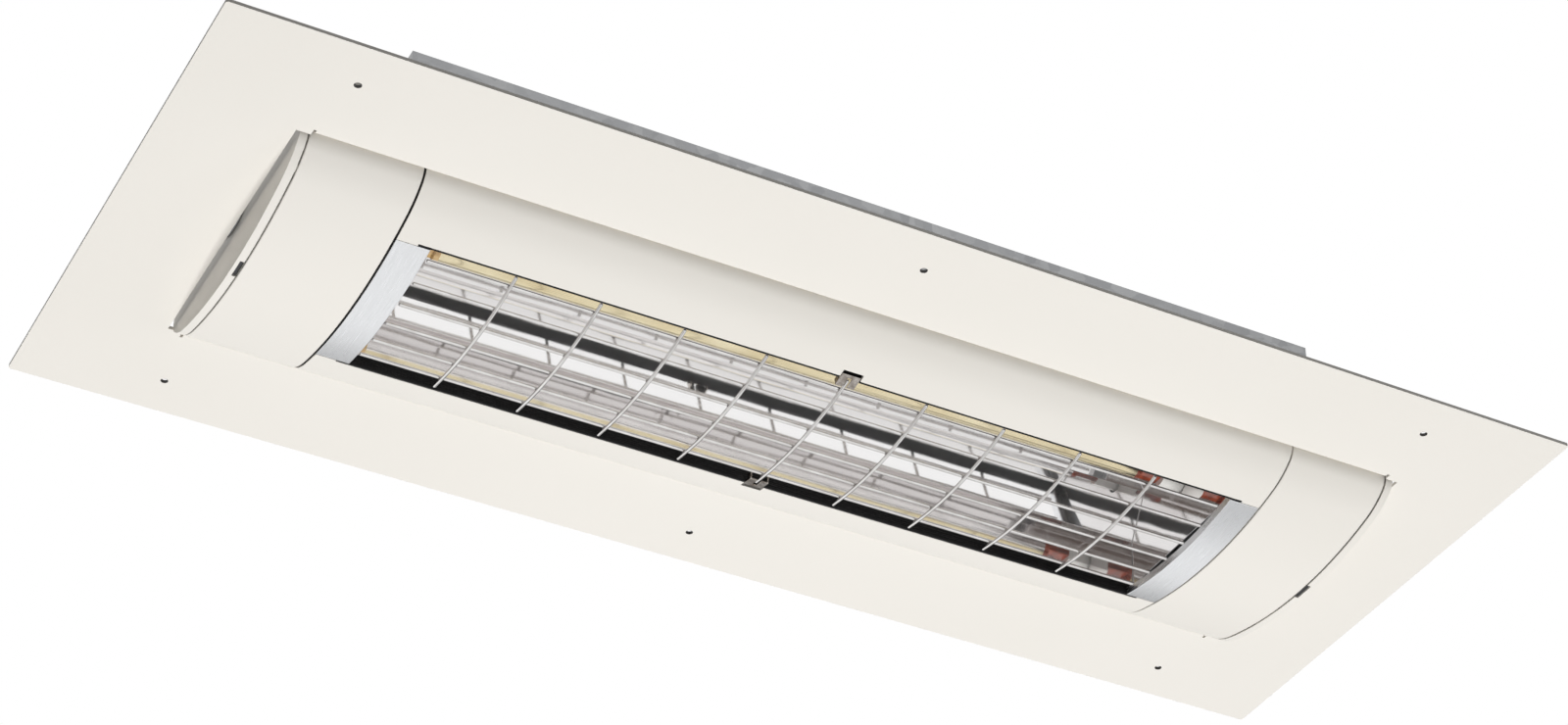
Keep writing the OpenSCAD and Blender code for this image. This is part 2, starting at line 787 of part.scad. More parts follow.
module lamp_pinches() {
    color("sienna") for (side = [-1, 1]) at_end(side) translate([0, 0, lamp_z]) {
        rod_x(tube_x, tube_x + pinch_neck, lamp_d);
        translate([tube_x + pinch_neck, -pinch_w / 2, -pinch_t / 2])
            cube([pinch_l - pinch_neck, pinch_w, pinch_t]);
    }
}

module lamp_bases() {
    color("white") for (side = [-1, 1]) at_end(side) translate([0, 0, lamp_z]) intersection() {
        rod_x(pinch_x, lamp_end_x, base_d);
        translate([pinch_x, -base_w / 2, -base_d / 2]) cube([lamp_base_l, base_w, base_d]);
    }
}

// Lamp holders, each with a sprung contact pin in a brass bush

holder_x = bulkhead_x + bulkhead_t + fit;
holder_end_x = holder_x + holder_l;
socket_gap = 0.2;
pin_room = 3;
socket_end_x = lamp_end_x + pin_room;
tip_gap = 0.1;
pin_flange_d = 1.8 * pin_d;
pin_flange_t = 1.6;
chamber_d = pin_flange_d + 1.4;
neck_l = 1.8;
pin_flange_x = socket_end_x + neck_l;
bush_flange_t = 2;
bush_grip = 4;
bush_x = holder_end_x - bush_grip;
pin_tail = 4;
spring_mid_r = (pin_d + pin_flange_d) / 4 + spring_wire_d / 8;
spring_from_x = pin_flange_x + pin_flange_t + spring_wire_d / 2 + screw_fit;
spring_to_x = bush_x - pin_travel - spring_wire_d / 2 - 2 * fit;

module lamp_holder(side) {
    neck_from_x = socket_end_x;
    color("white") at_end(side) translate([0, 0, lamp_z]) difference() {
        translate([holder_x, -holder_w / 2, -holder_w / 2]) cube([holder_l, holder_w, holder_w]);
        rod_x(holder_x - over, neck_from_x, base_d + 2 * socket_gap);
        rod_x(neck_from_x - over, pin_flange_x, pin_d + 2 * fit);
        rod_x(pin_flange_x - fit, holder_end_x + over, chamber_d);
    }
}

module contact_bush(side) {
    color("gold") at_end(side) translate([0, 0, lamp_z]) difference() {
        union() {
            rod_x(bush_x, holder_end_x, chamber_d - 2 * screw_fit);
            rod_x(holder_end_x, holder_end_x + bush_flange_t, chamber_d + 2 * bush_flange_t);
            translate([holder_end_x, -tag_w / 2, 0]) cube([tag_t, tag_w, tag_h]);
        }
        rod_x(bush_x - over, holder_end_x + bush_flange_t + over, pin_d + 2 * pin_fit);
    }
}
tag_w = 5;
tag_t = 1;
tag_h = 13;

module contact_pin(side) {
    color("gold") at_end(side) translate([0, 0, lamp_z]) {
        rod_x(lamp_end_x + tip_gap, holder_end_x + pin_tail, pin_d);
        rod_x(pin_flange_x, pin_flange_x + pin_flange_t, pin_flange_d);
    }
}

// Contact spring as one unbroken tube round the pin

spring_rings = 8;
spring_sides = 6;
function spring_centre(t) = let (a = 360 * spring_turns * t) [
    spring_from_x + (spring_to_x - spring_from_x) * t,
    spring_mid_r * cos(a),
    spring_mid_r * sin(a)
];
function spring_ring(t) = let (a = 360 * spring_turns * t) [
    for (k = [0:spring_sides - 1]) let (b = 360 * k / spring_sides, r = spring_wire_d / 2)
        spring_centre(t) + [r * sin(b), r * cos(b) * cos(a), r * cos(b) * sin(a)]
];

// Faces of a tube made of rings with the same number of sides
function tube_faces(rings, sides) = concat(
    [[for (k = [0:sides - 1]) k]],
    [for (i = [0:rings - 2], k = [0:sides - 1], h = [0, 1]) let (
        a = i * sides + k, b = i * sides + (k + 1) % sides
    ) h == 0 ? [a, a + sides, b + sides] : [a, b + sides, b]],
    [[for (k = [sides - 1:-1:0]) (rings - 1) * sides + k]]
);

module contact_spring(side) {
    steps = spring_turns * spring_rings;
    points = [for (i = [0:steps]) each spring_ring(i / steps)];
    color("lightsteelblue") at_end(side) translate([0, 0, lamp_z])
        polyhedron(points, tube_faces(steps + 1, spring_sides));
}

echo(least_gap_in_the_contact_spring = min([for (i = [0:spring_rings])
    norm(spring_centre(0) - spring_centre((spring_rings + i - spring_rings / 2) / spring_rings / spring_turns))])
    - spring_wire_d);

// Guard: cross wires follow the body's curve, long wires lie inside them

wire_r = wire_d / 2;
wire_flush = 0.3;
cross_r = face_r - wire_r - wire_flush;
long_r = cross_r - wire_d + weld_sink;
cross_turn = asin((window_half - wire_tip_gap) / cross_r);
cross_pitch = 2 * trim_x / (cross_wires + 1);
long_pitch = 2 * (window_half - long_inset) / (long_wires - 1);

module guard_cross_wires() {
    color("silver") for (i = [0:cross_wires - 1])
        translate([(i - (cross_wires - 1) / 2) * cross_pitch, 0, face_cz]) rotate([90, 0, 90])
            rotate([0, 0, -90 - cross_turn]) rotate_extrude(angle = 2 * cross_turn)
                translate([cross_r, 0]) circle(r = wire_r);
}

module guard_long_wires() {
    half = trim_x - wire_end_gap;
    color("silver") for (i = [0:long_wires - 1]) {
        turn = asin((i - (long_wires - 1) / 2) * long_pitch / long_r);
        translate([0, long_r * sin(turn), face_cz - long_r * cos(turn)]) rod_x(-half, half, wire_d);
    }
}

// Clips: chrome forks in the window's edges that grip the middle cross wire

clip_t = 0.8;
clip_slit = wire_d + 0.6;
clip_ear_l = 4;
clip_turn = asin(window_half / face_r);

module guard_clips() {
    inner = clip_t / 4;
    leg_h = liner_h - liner_t - 2 * clip_t;
    root = liner_t + clip_t + 2 * fit + (leg_h + clip_t) * tan(clip_turn);
    color("silver") for (side = [-1, 1]) at_edge(side)
        translate([0, window_half, skin_z(window_half, 0)]) rotate([clip_turn, 0, 0]) difference() {
            union() {
                translate([-clip_w / 2, -clip_reach, inner]) cube([clip_w, clip_reach + root, clip_t]);
                for (x = [-clip_w / 2, clip_w / 2 - clip_t])
                    translate([x, -clip_reach, inner]) cube([clip_t, clip_ear_l, clip_ear_h]);
                translate([-clip_w / 2, root - clip_t, inner]) cube([clip_w, clip_t, leg_h]);
            }
            translate([-clip_slit / 2, -clip_reach - over, 0])
                cube([clip_slit, clip_reach + over + liner_t, clip_t + clip_ear_h]);
        }
}

// Terminal block on the inside of the right sleeve's back, with its screws

block_w = 30;
block_h = 15;
block_offset = 30;
block_y = -block_offset;
block_x = (bulkhead_x + bulkhead_flange + cap_x - spigot_l - block_l) / 2;
block_poles = 3;
pole_pitch = block_w / block_poles;
pole_hole_d = 5;
pole_depth = 6;
block_under_z = body_top_z - wall_t - block_h;
well_inset = 8;
terminal_ys = [for (i = [0:block_poles - 1]) block_y + (i - (block_poles - 1) / 2) * pole_pitch];
terminal_xs = [block_x + well_inset, block_x + block_l - well_inset];

module terminal_block() {
    color("white") difference() {
        translate([block_x, block_y - block_w / 2, block_under_z]) cube([block_l, block_w, block_h - fit]);
        for (x = terminal_xs, y = terminal_ys)
            translate([x, y, block_under_z - over]) cylinder(d = pole_hole_d, h = pole_depth + over);
        for (y = terminal_ys) translate([0, y, lead_entry_z])
            rod_x(block_x - over, block_x + lead_grip, lead_d + 2 * fit);
    }
}
lead_grip = 3;
lead_entry_share = 0.6;
lead_entry_z = block_under_z + block_h * lead_entry_share;
terminal_screw_d = 4.4;
terminal_screw_l = 4;
slot_share = 0.2;

module terminal_screws() {
    color("gold") for (x = terminal_xs, y = terminal_ys)
        translate([x, y, block_under_z + pole_depth - terminal_screw_l - fit]) difference() {
            cylinder(d = terminal_screw_d, h = terminal_screw_l);
            translate([0, 0, -over]) cube([2 * terminal_screw_d, terminal_screw_d * slot_share,
                2 * (over + terminal_screw_l * slot_share)], center = true);
        }
}

// Cable gland on the right sleeve's back: body, clamping cap and locknut

gland_flange_d = 1.5 * gland_thread_d;
gland_flange_h = 4;
gland_stub = 6.5;
gland_cap_d = 1.3 * gland_thread_d;
gland_neck_d = gland_thread_d - 2;
gland_roof = 2;
locknut_h = 4;
gland_x = end_x - gland_inset_l;
gland_y = body_half - gland_inset_w;

module gland_place() {
    translate([gland_x, gland_y, body_top_z]) children();
}

module cable_gland() {
    color("black") gland_place() difference() {
        union() {
            translate([0, 0, -wall_t - gland_stub]) cylinder(d = gland_thread_d, h = wall_t + gland_stub + lap);
            cylinder(d = gland_flange_d, h = gland_flange_h, $fn = 6);
            cylinder(d = gland_neck_d, h = gland_h - gland_flange_h);
        }
        translate([0, 0, -wall_t - gland_stub - over])
            cylinder(d = cable_d, h = gland_h + wall_t + gland_stub + 2 * over);
    }
}

module gland_cap() {
    color("black") gland_place() difference() {
        translate([0, 0, gland_flange_h + fit]) cylinder(d = gland_cap_d, h = gland_h - gland_flange_h - fit);
        cylinder(d = gland_neck_d + 2 * fit, h = gland_h - gland_roof);
        cylinder(d = cable_d, h = gland_h + over);
    }
}

module gland_locknut() {
    color("black") gland_place() translate([0, 0, -wall_t - locknut_h - fit]) difference() {
        cylinder(d = gland_flange_d, h = locknut_h, $fn = 6);
        translate([0, 0, -over]) cylinder(d = gland_thread_d + 2 * screw_fit, h = locknut_h + 2 * over);
    }
}

// Inner leads, each one tube along its route

lead_sides = 8;
lead_steps = 4;
bend_share = 0.35;

// A route with every inner corner rounded by points on a quadratic curve
function rounded_route(p) = let (n = len(p)) concat([p[0]], [
    for (i = [1:n - 2], j = [0:lead_steps]) let (
        r = bend_share * min(norm(p[i] - p[i - 1]), norm(p[i + 1] - p[i]), lead_bend / bend_share),
        a = p[i] + r * unit(p[i - 1] - p[i]),
        b = p[i] + r * unit(p[i + 1] - p[i]),
        t = j / lead_steps
    ) (1 - t) * (1 - t) * a + 2 * t * (1 - t) * p[i] + t * t * b
], [p[n - 1]]);
lead_bend = 9;
function unit(v) = v / norm(v);

// Direction of the route at each of its points
function heading(p, i) = unit(p[min(i + 1, len(p) - 1)] - p[max(i - 1, 0)]);

// Rough direction of a lead's first side, as shares of its length along X, Y and Z
first_side_shares = [0.1, 0.3, 1];

// A side direction that starts square to the first run and stays square to the route
function side_dirs(p, i = 0, prev = first_side_shares) = let (
    h = heading(p, i),
    s = unit(prev - (prev * h) * h)
) i == len(p) - 1 ? [s] : concat([s], side_dirs(p, i + 1, s));

module lead(route) {
    p = rounded_route(route);
    sides = side_dirs(p);
    points = [for (i = [0:len(p) - 1]) let (s = sides[i], u = cross(heading(p, i), s))
        each [for (k = [0:lead_sides - 1]) let (a = 360 * k / lead_sides)
            p[i] + lead_d / 2 * (cos(a) * s + sin(a) * u)]];
    polyhedron(points, tube_faces(len(p), lead_sides));
}

tag_x = holder_end_x + tag_t;
tag_top_z = lamp_z + tag_h - lead_d;
lead_room = 6;
lead_rise = 1.6;
block_front = block_x + lead_grip - fit;
lead_turn_x = block_x - lead_room;

module live_lead() {
    start = [block_front, terminal_ys[2], lead_entry_z];
    color("saddlebrown") lead([
        start,
        [lead_turn_x, terminal_ys[2], lead_entry_z],
        [lead_turn_x + lead_d, -2 * lead_d, lead_entry_z],
        [tag_x + lead_d / 2 + fit + lead_rise, 0, lead_entry_z + lead_rise],
        [tag_x + lead_d / 2 + fit, 0, tag_top_z]
    ]);
}

module neutral_lead() {
    start = [block_front, terminal_ys[0], lead_entry_z];
    color("steelblue") lead([
        start,
        [lead_turn_x, terminal_ys[0], lead_entry_z],
        [holder_end_x - holder_l / 3, lead_run_y, lead_run_z],
        [-holder_end_x + holder_l / 3, lead_run_y, lead_run_z],
        [-tag_x - lead_d, -holder_w, lead_entry_z + lead_rise],
        [-tag_x - lead_d / 2 - fit, 0, lead_entry_z],
        [-tag_x - lead_d / 2 - fit, 0, tag_top_z]
    ]);
}

earth_drop = 16;
earth_z = body_top_z - earth_drop;
earth_screw_d = 4;
earth_head_d = 8;
earth_head_h = 2.4;
earth_lead_x = bulkhead_x + bulkhead_t + earth_head_h + fit + lead_d / 2;

module earth_lead() {
    color("yellowgreen") lead([
        [block_front, terminal_ys[1], lead_entry_z],
        [earth_lead_x, terminal_ys[1], lead_entry_z],
        [earth_lead_x, block_y, earth_z - earth_screw_d / 2]
    ]);
}

module earth_screw() {
    color("gold") translate([bulkhead_x, block_y, earth_z]) rotate([0, 90, 0]) {
        cylinder(d = earth_screw_d, h = bulkhead_t + lap);
        translate([0, 0, bulkhead_t]) cylinder(d = earth_head_d, h = earth_head_h);
    }
}

frame_plate();
recess_channel();
channel_rivets();
end_bracket(-1);  // end_bracket_left
end_bracket(1);  // end_bracket_right
bracket_rivets();
pivot_disc(-1);  // pivot_disc_left
pivot_disc(1);  // pivot_disc_right
pivot_bolts();
centre_housing();
end_sleeve(-1);  // end_sleeve_left
end_sleeve(1);  // end_sleeve_right
end_cap(-1);  // end_cap_left
end_cap(1);  // end_cap_right
cap_latches();
cap_screws();
seam_gaskets();
cap_gaskets();
bulkhead(-1);  // bulkhead_left
bulkhead(1);  // bulkhead_right
trim(-1);  // trim_left
trim(1);  // trim_right
liner(-1);  // liner_near
liner(1);  // liner_far
reflector();
end_mirror(-1);  // end_mirror_left
end_mirror(1);  // end_mirror_right
heat_shield();
lamp_tube();
lamp_filament();
lamp_pinches();
lamp_bases();
lamp_holder(-1);  // lamp_holder_left
lamp_holder(1);  // lamp_holder_right
contact_bush(-1);  // contact_bush_left
contact_bush(1);  // contact_bush_right
contact_pin(-1);  // contact_pin_left
contact_pin(1);  // contact_pin_right
contact_spring(-1);  // contact_spring_left
contact_spring(1);  // contact_spring_right
guard_cross_wires();
guard_long_wires();
guard_clips();
terminal_block();
terminal_screws();
cable_gland();
gland_cap();
gland_locknut();
live_lead();
neutral_lead();
earth_lead();
earth_screw();
lead_grommets();
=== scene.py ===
# %% [markdown]
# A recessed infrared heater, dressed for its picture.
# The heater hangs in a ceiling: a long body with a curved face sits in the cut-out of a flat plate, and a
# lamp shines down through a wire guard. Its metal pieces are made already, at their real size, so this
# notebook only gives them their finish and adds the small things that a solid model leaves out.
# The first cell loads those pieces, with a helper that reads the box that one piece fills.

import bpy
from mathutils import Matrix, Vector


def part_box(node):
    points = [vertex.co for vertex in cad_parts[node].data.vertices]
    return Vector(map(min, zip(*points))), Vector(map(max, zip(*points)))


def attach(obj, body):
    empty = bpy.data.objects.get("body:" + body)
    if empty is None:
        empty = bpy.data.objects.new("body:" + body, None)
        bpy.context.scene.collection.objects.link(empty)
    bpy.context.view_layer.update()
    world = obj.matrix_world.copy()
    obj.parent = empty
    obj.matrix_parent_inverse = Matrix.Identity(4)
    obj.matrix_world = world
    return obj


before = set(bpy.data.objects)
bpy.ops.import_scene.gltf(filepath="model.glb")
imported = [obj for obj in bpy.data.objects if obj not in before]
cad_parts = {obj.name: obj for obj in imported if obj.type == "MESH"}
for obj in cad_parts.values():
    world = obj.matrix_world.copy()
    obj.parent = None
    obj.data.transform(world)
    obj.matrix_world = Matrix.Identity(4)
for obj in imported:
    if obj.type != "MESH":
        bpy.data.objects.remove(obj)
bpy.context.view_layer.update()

# %% [markdown]
# The camera comes next, because every choice after it is judged through it.
# A picture's camera can be set by eye, or worked out from straight edges of known length. Here it was worked
# out: the plate is a true rectangle, so its four edges and its screw holes fix where the eye stood and how
# long the lens is. The eye is below and to the left of the near long edge, and looks up at the ceiling.

# %% Camera
import math

import bpy
from mathutils import Matrix, Vector

photo_w = 1600
focal_px = 3749.75
sensor_mm = 36
eye = Vector((-0.7759, -1.4460, -1.1978))
ahead = Vector((0.37469, 0.70779, 0.59886)).normalized()
across = Vector((0.88519, -0.46521, -0.00401)).normalized()

scene = bpy.context.scene
lens = bpy.data.cameras.new("photo_lens")
lens.sensor_width = sensor_mm
lens.lens = focal_px * sensor_mm / photo_w
camera = bpy.data.objects.new("photo_camera", lens)
scene.collection.objects.link(camera)
upward = across.cross(ahead).normalized()
turn = Matrix((across, upward, -ahead)).transposed()
camera.matrix_world = Matrix.Translation(eye) @ turn.to_4x4()
scene.camera = camera
print("lens mm:", round(lens.lens, 2), "distance m:", round(eye.length, 3))

# %% [markdown]
# The room and every finish are networks of shader nodes. They can be wired by hand in the node editor, which
# is slow to repeat, so two small helpers do it here: one adds a node with its settings, and one joins two
# sockets. They work on a material and on the world alike.


# %% Add and join shader nodes
def join(material, a, b):
    """Joins an output socket to an input socket."""
    material.node_tree.links.new(a, b)


def node(material, kind, **settings):
    """Adds a shader node and sets its properties."""
    made = material.node_tree.nodes.new(kind)
    for name, value in settings.items():
        setattr(made, name, value)
    return made


print("helpers: join, node")

# %% [markdown]
# Now the studio. The real heater hangs under a ceiling in a bright room, and a catalogue shows it on white.
# White behind a thing can come from more light, which washes its colour out, or from what the camera sees
# where nothing stands. The second keeps the colours: rays that come straight from the camera, or bounce off
# metal, meet a white room, and all others meet a softer one that lights the pieces evenly. The trough is a
# mirror that sees itself, so a ray may need many bounces before it gets out, and sixteen are allowed. With
# too few, its folds would go black.

# %% Room
soft_room = 0.14
white = (1, 1, 1, 1)
most_bounces = 16

world = bpy.data.worlds.new("bright_room")
world.use_nodes = True
scene.world = world
scene.view_settings.view_transform = "Standard"
scene.cycles.max_bounces = most_bounces
scene.cycles.glossy_bounces = most_bounces


def seen_rays(material):
    """1 for rays that show the room itself: from the camera, off metal, or through glass."""
    path = node(material, "ShaderNodeLightPath")
    either = node(material, "ShaderNodeMath", operation="MAXIMUM")
    any_of = node(material, "ShaderNodeMath", operation="MAXIMUM")
    join(material, path.outputs["Is Camera Ray"], either.inputs[0])
    join(material, path.outputs["Is Glossy Ray"], either.inputs[1])
    join(material, either.outputs[0], any_of.inputs[0])
    join(material, path.outputs["Is Transmission Ray"], any_of.inputs[1])
    return any_of.outputs[0]


lighting = world.node_tree.nodes["Background"]
lighting.inputs["Color"].default_value = white
lighting.inputs["Strength"].default_value = soft_room
backdrop = node(world, "ShaderNodeBackground")
backdrop.inputs["Color"].default_value = white
backdrop.inputs["Strength"].default_value = 1
either_room = node(world, "ShaderNodeMixShader")
join(world, seen_rays(world), either_room.inputs["Fac"])
join(world, lighting.outputs[0], either_room.inputs[1])
join(world, backdrop.outputs[0], either_room.inputs[2])
join(world, either_room.outputs[0], world.node_tree.nodes["World Output"].inputs["Surface"])
print("soft room at", soft_room)

# %% [markdown]
# The floor lies far below, as it would under a high ceiling, so that the heater can be looked at from every
# side. It is plain and pale. Part of its light is its own where the camera looks at it, so that it meets the
# white room without a line, and the rest is ordinary matt paint that takes the heater's soft shadow.

# %% Floor
floor_z = -5.6
floor_half = 9.0
floor_glow_share = 0.93

floor_mesh = bpy.data.meshes.new("floor")
floor_mesh.from_pydata(
    [(x * floor_half, y * floor_half, floor_z) for x, y in ((-1, -1), (1, -1), (1, 1), (-1, 1))],
    [],
    [(0, 1, 2, 3)],
)
floor = bpy.data.objects.new("floor", floor_mesh)
scene.collection.objects.link(floor)

floor_paint = bpy.data.materials.new("pale_floor")
floor_paint.use_nodes = True
matt = floor_paint.node_tree.nodes["Principled BSDF"]
matt.inputs["Base Color"].default_value = (0.86, 0.86, 0.85, 1)
matt.inputs["Roughness"].default_value = 0.9
glow = node(floor_paint, "ShaderNodeEmission")
share = node(floor_paint, "ShaderNodeMath", operation="MULTIPLY")
share.inputs[1].default_value = floor_glow_share
either_floor = node(floor_paint, "ShaderNodeMixShader")
join(floor_paint, seen_rays(floor_paint), share.inputs[0])
join(floor_paint, share.outputs[0], either_floor.inputs["Fac"])
join(floor_paint, matt.outputs[0], either_floor.inputs[1])
join(floor_paint, glow.outputs[0], either_floor.inputs[2])
floor_output = floor_paint.node_tree.nodes["Material Output"]
join(floor_paint, either_floor.outputs[0], floor_output.inputs["Surface"])
floor_mesh.materials.append(floor_paint)
print("floor at", floor_z)

# %% [markdown]
# Three soft lamps give the pieces their form. A bare bulb would throw hard shadows, so each lamp is a wide
# glowing square. The strongest hangs straight below and makes the curved face brightest where it looks down.
# A weak one beside the right end opens up the near shoulder there, which the picture shows paler than at the
# left. One above lights the back for whoever looks at the heater from the top. The lamps light paint but are
# hidden from reflections, because the mirrors of the trough would show each of them as a burnt white spot.


# %% Soft lamps
def soft_lamp(name, place, size, watts):
    """A square lamp at a place, aimed at the heater, that neither the camera nor a mirror sees."""
    data = bpy.data.lights.new(name, "AREA")
    data.shape = "SQUARE"
    data.size = size
    data.energy = watts
    lamp = bpy.data.objects.new(name, data)
    lamp.location = place
    lamp.rotation_mode = "QUATERNION"
    lamp.rotation_quaternion = (-Vector(place)).to_track_quat("-Z", "Y")
    lamp.visible_camera = False
    lamp.visible_glossy = False
    scene.collection.objects.link(lamp)
    print(name, "at", place)


soft_lamp("key_lamp", (0.0, 0.35, -2.8), size=1.0, watts=68)
soft_lamp("near_lamp", (1.3, -1.2, -0.9), size=0.8, watts=3)
soft_lamp("top_lamp", (0.8, 1.5, 3.0), size=2.4, watts=80)

# %% [markdown]
# Bright metal in a wholly white room has no outline, because it has nothing dark to show. Photographers put a
# black card beside such a thing. Four cards do it here. Only reflections see them, so they change neither the
# light on the pieces nor the white background. Each place was worked out: the line from the eye to a spot on
# the metal is turned about the face there, and followed until it meets the card. The dark one, far off to the
# right, draws a dark line down one side of each wire. The grey one lies low and shades the near end of the
# right end plate, and the far one stands beyond the heater and shades the far ends of both end plates. The
# brown one lies low on the left. From this eye hardly anything but the mirror at the right end looks there,
# so that end of the trough gets its brown shapes.


# %% Dark cards
def card(name, low, high, colour):
    """A flat card between two corners that only reflections see, and that shows them one even colour."""
    wide_axis, tall_axis = [axis for axis in range(3) if low[axis] != high[axis]]
    along, up = list(low), list(low)
    along[wide_axis] = high[wide_axis]
    up[tall_axis] = high[tall_axis]
    sheet = bpy.data.meshes.new(name)
    sheet.from_pydata([low, along, high, up], [], [(0, 1, 2, 3)])
    held = bpy.data.objects.new(name, sheet)
    scene.collection.objects.link(held)
    held.visible_camera = False
    held.visible_diffuse = False
    held.visible_shadow = False
    felt = bpy.data.materials.new(name + "_felt")
    felt.use_nodes = True
    seen = node(felt, "ShaderNodeEmission")
    seen.inputs["Color"].default_value = (*colour, 1)
    join(felt, seen.outputs[0], felt.node_tree.nodes["Material Output"].inputs["Surface"])
    sheet.materials.append(felt)
    print(name, "from", low, "to", high)


right_x = 4.2
beyond_y = 7.0
below_z = -5.2
card("dark_card", (right_x, -7, -1.6), (right_x, 7, 2.5), (0.015, 0.015, 0.016))
card("grey_card", (2.5, 1.2, below_z), (6.5, 4, below_z), (0.5, 0.5, 0.5))
card("far_card", (0, beyond_y, -2.9), (4.8, beyond_y, -0.4), (0.4, 0.4, 0.4))
card("brown_card", (-5.8, -6, below_z), (-2.3, 6.1, below_z), (0.075, 0.05, 0.038))

# %% [markdown]
# Real sheet metal and castings have no knife edges: even a cut edge is broken by a file or by the paint on
# it, and that thin round is what catches the light in a picture. It could be drawn into every solid, but that
# would make them heavy. A stack of modifiers does it here and leaves each piece's own mesh as it is: weld the
# corners, merge the flat triangles, round whatever turns more than a set angle, and let the large faces steer
# the shading.
# The set angle matters. Most curves here are made of strips that turn by a few degrees, and those must stay
# smooth. The trough is different: it is folded at small angles, and each fold has to stay a clear line, or
# the mirror would bend every reflection round the corner. So it gets a very low angle of its own.

# %% Rounded edges
same_point = 2e-6
flat_deg = 0.4
large_face_weight = 90


def soften(name, width, segments=2, sharp_deg=32):
    """Rounds the edges of a solid piece by a width in metres, and shades its strips smoothly."""
    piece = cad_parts[name]
    flags = [True] * len(piece.data.polygons)
    piece.data.polygons.foreach_set("use_smooth", flags)
    weld = piece.modifiers.new("one_skin", "WELD")
    weld.merge_threshold = same_point
    flat = piece.modifiers.new("flat_faces", "DECIMATE")
    flat.decimate_type = "DISSOLVE"
    flat.angle_limit = math.radians(flat_deg)
    if width > 0:
        edge = piece.modifiers.new("round_edge", "BEVEL")
        edge.width = width
        edge.segments = segments
        edge.limit_method = "ANGLE"
        edge.angle_limit = math.radians(sharp_deg)
        edge.miter_outer = "MITER_ARC"
    shade = piece.modifiers.new("shading", "WEIGHTED_NORMAL")
    shade.weight = large_face_weight
    shade.keep_sharp = False


edge_widths = {
    0.0007: ["end_sleeve_left", "end_sleeve_right"],
    0.0004: ["centre_housing", "end_cap_left", "end_cap_right"],
    0.00035: ["frame_plate"],
    0.0003: [
        "trim_left", "trim_right", "end_bracket_left", "end_bracket_right", "pivot_disc_left",
        "pivot_disc_right", "terminal_block", "lamp_holder_left", "lamp_holder_right", "lamp_bases",
    ],
    0.00025: [
        "recess_channel", "bulkhead_left", "bulkhead_right", "heat_shield", "lamp_pinches", "cap_latches",
    ],
    0.0002: [
        "liner_near", "liner_far", "guard_clips", "channel_rivets", "bracket_rivets", "cap_screws",
        "pivot_bolts", "terminal_screws", "earth_screw", "gland_locknut", "cable_gland",
        "contact_bush_left", "contact_bush_right", "contact_pin_left", "contact_pin_right",
    ],
    0.00015: ["end_mirror_left", "end_mirror_right"],
    0: [
        "seam_gaskets", "cap_gaskets", "lead_grommets", "lamp_tube", "lamp_filament", "gland_cap",
        "live_lead", "neutral_lead", "earth_lead", "contact_spring_left", "contact_spring_right",
    ],
}
guard_wires = ("guard_cross_wires", "guard_long_wires")
wire_end_round = 0.00085

for width, names in edge_widths.items():
    for name in names:
        soften(name, width)
for name in guard_wires:
    soften(name, wire_end_round, segments=4, sharp_deg=50)
soften("reflector", 0.0004, segments=3, sharp_deg=3)
print("softened pieces:", sum(map(len, edge_widths.values())) + len(guard_wires) + 1)

# %% [markdown]
# The finishes follow, one cell each. All of them start from the same few helpers. A texture on a bought
# product is never wrapped from a picture here: it is worked out from the place of each point in metres, so
# grain and paint texture keep their real size on large and small pieces alike. These first helpers say where
# a point is and make a cloudy noise there.


# %% Helpers for places and noise
def spot(material):
    """The place of a point in metres, in the heater's own frame."""
    return node(material, "ShaderNodeTexCoord").outputs["Object"]


def place(material, per_metre):
    """The place of a point, multiplied by one number, or by one for each axis."""
    scaled = node(material, "ShaderNodeMapping")
    scaled.inputs["Scale"].default_value = per_metre if isinstance(per_metre, tuple) else (per_metre,) * 3
    join(material, spot(material), scaled.inputs["Vector"])
    return scaled.outputs["Vector"]


def noise(material, per_metre, detail=2.0, rough=0.5):
    """Cloudy values from 0 to 1, with so many lumps in a metre, on all axes alike or for each."""
    cloud = node(material, "ShaderNodeTexNoise")
    cloud.inputs["Scale"].default_value = 1
    cloud.inputs["Detail"].default_value = detail
    cloud.inputs["Roughness"].default_value = rough
    join(material, place(material, per_metre), cloud.inputs["Vector"])
    return cloud.outputs["Fac"]


def vectors(material, operation, a, b=None):
    """Works on a vector socket and, where there is one, a second socket or a plain vector."""
    work = node(material, "ShaderNodeVectorMath", operation=operation)
    join(material, a, work.inputs[0])
    if isinstance(b, bpy.types.NodeSocket):
        join(material, b, work.inputs[1])
    elif b is not None:
        work.inputs[1].default_value = b
    return work.outputs["Value" if operation in ("LENGTH", "DOT_PRODUCT") else "Vector"]


def spread(material, value, low, high, from_low=0.3, from_high=0.7):
    """Maps a value onto another range and keeps it there."""
    ranged = node(material, "ShaderNodeMapRange")
    for name, number in (("From Min", from_low), ("From Max", from_high), ("To Min", low), ("To Max", high)):
        ranged.inputs[name].default_value = number
    join(material, value, ranged.inputs["Value"])
    return ranged.outputs["Result"]


def right_half(material):
    """0 on the left half of the heater and 1 on its right half."""
    blur = 0.01
    axes = node(material, "ShaderNodeSeparateXYZ")
    join(material, spot(material), axes.inputs[0])
    return spread(material, axes.outputs["X"], 0, 1, -blur, blur)


print("helpers: spot, place, noise, vectors, spread, right_half")

# %% [markdown]
# The other helpers turn such values into what the eye sees. A finish is one surface shader, and three things
# on it change from point to point: its colour, its gloss and its relief. One helper serves each of them, and
# the last one puts the finish on solid pieces by their names.


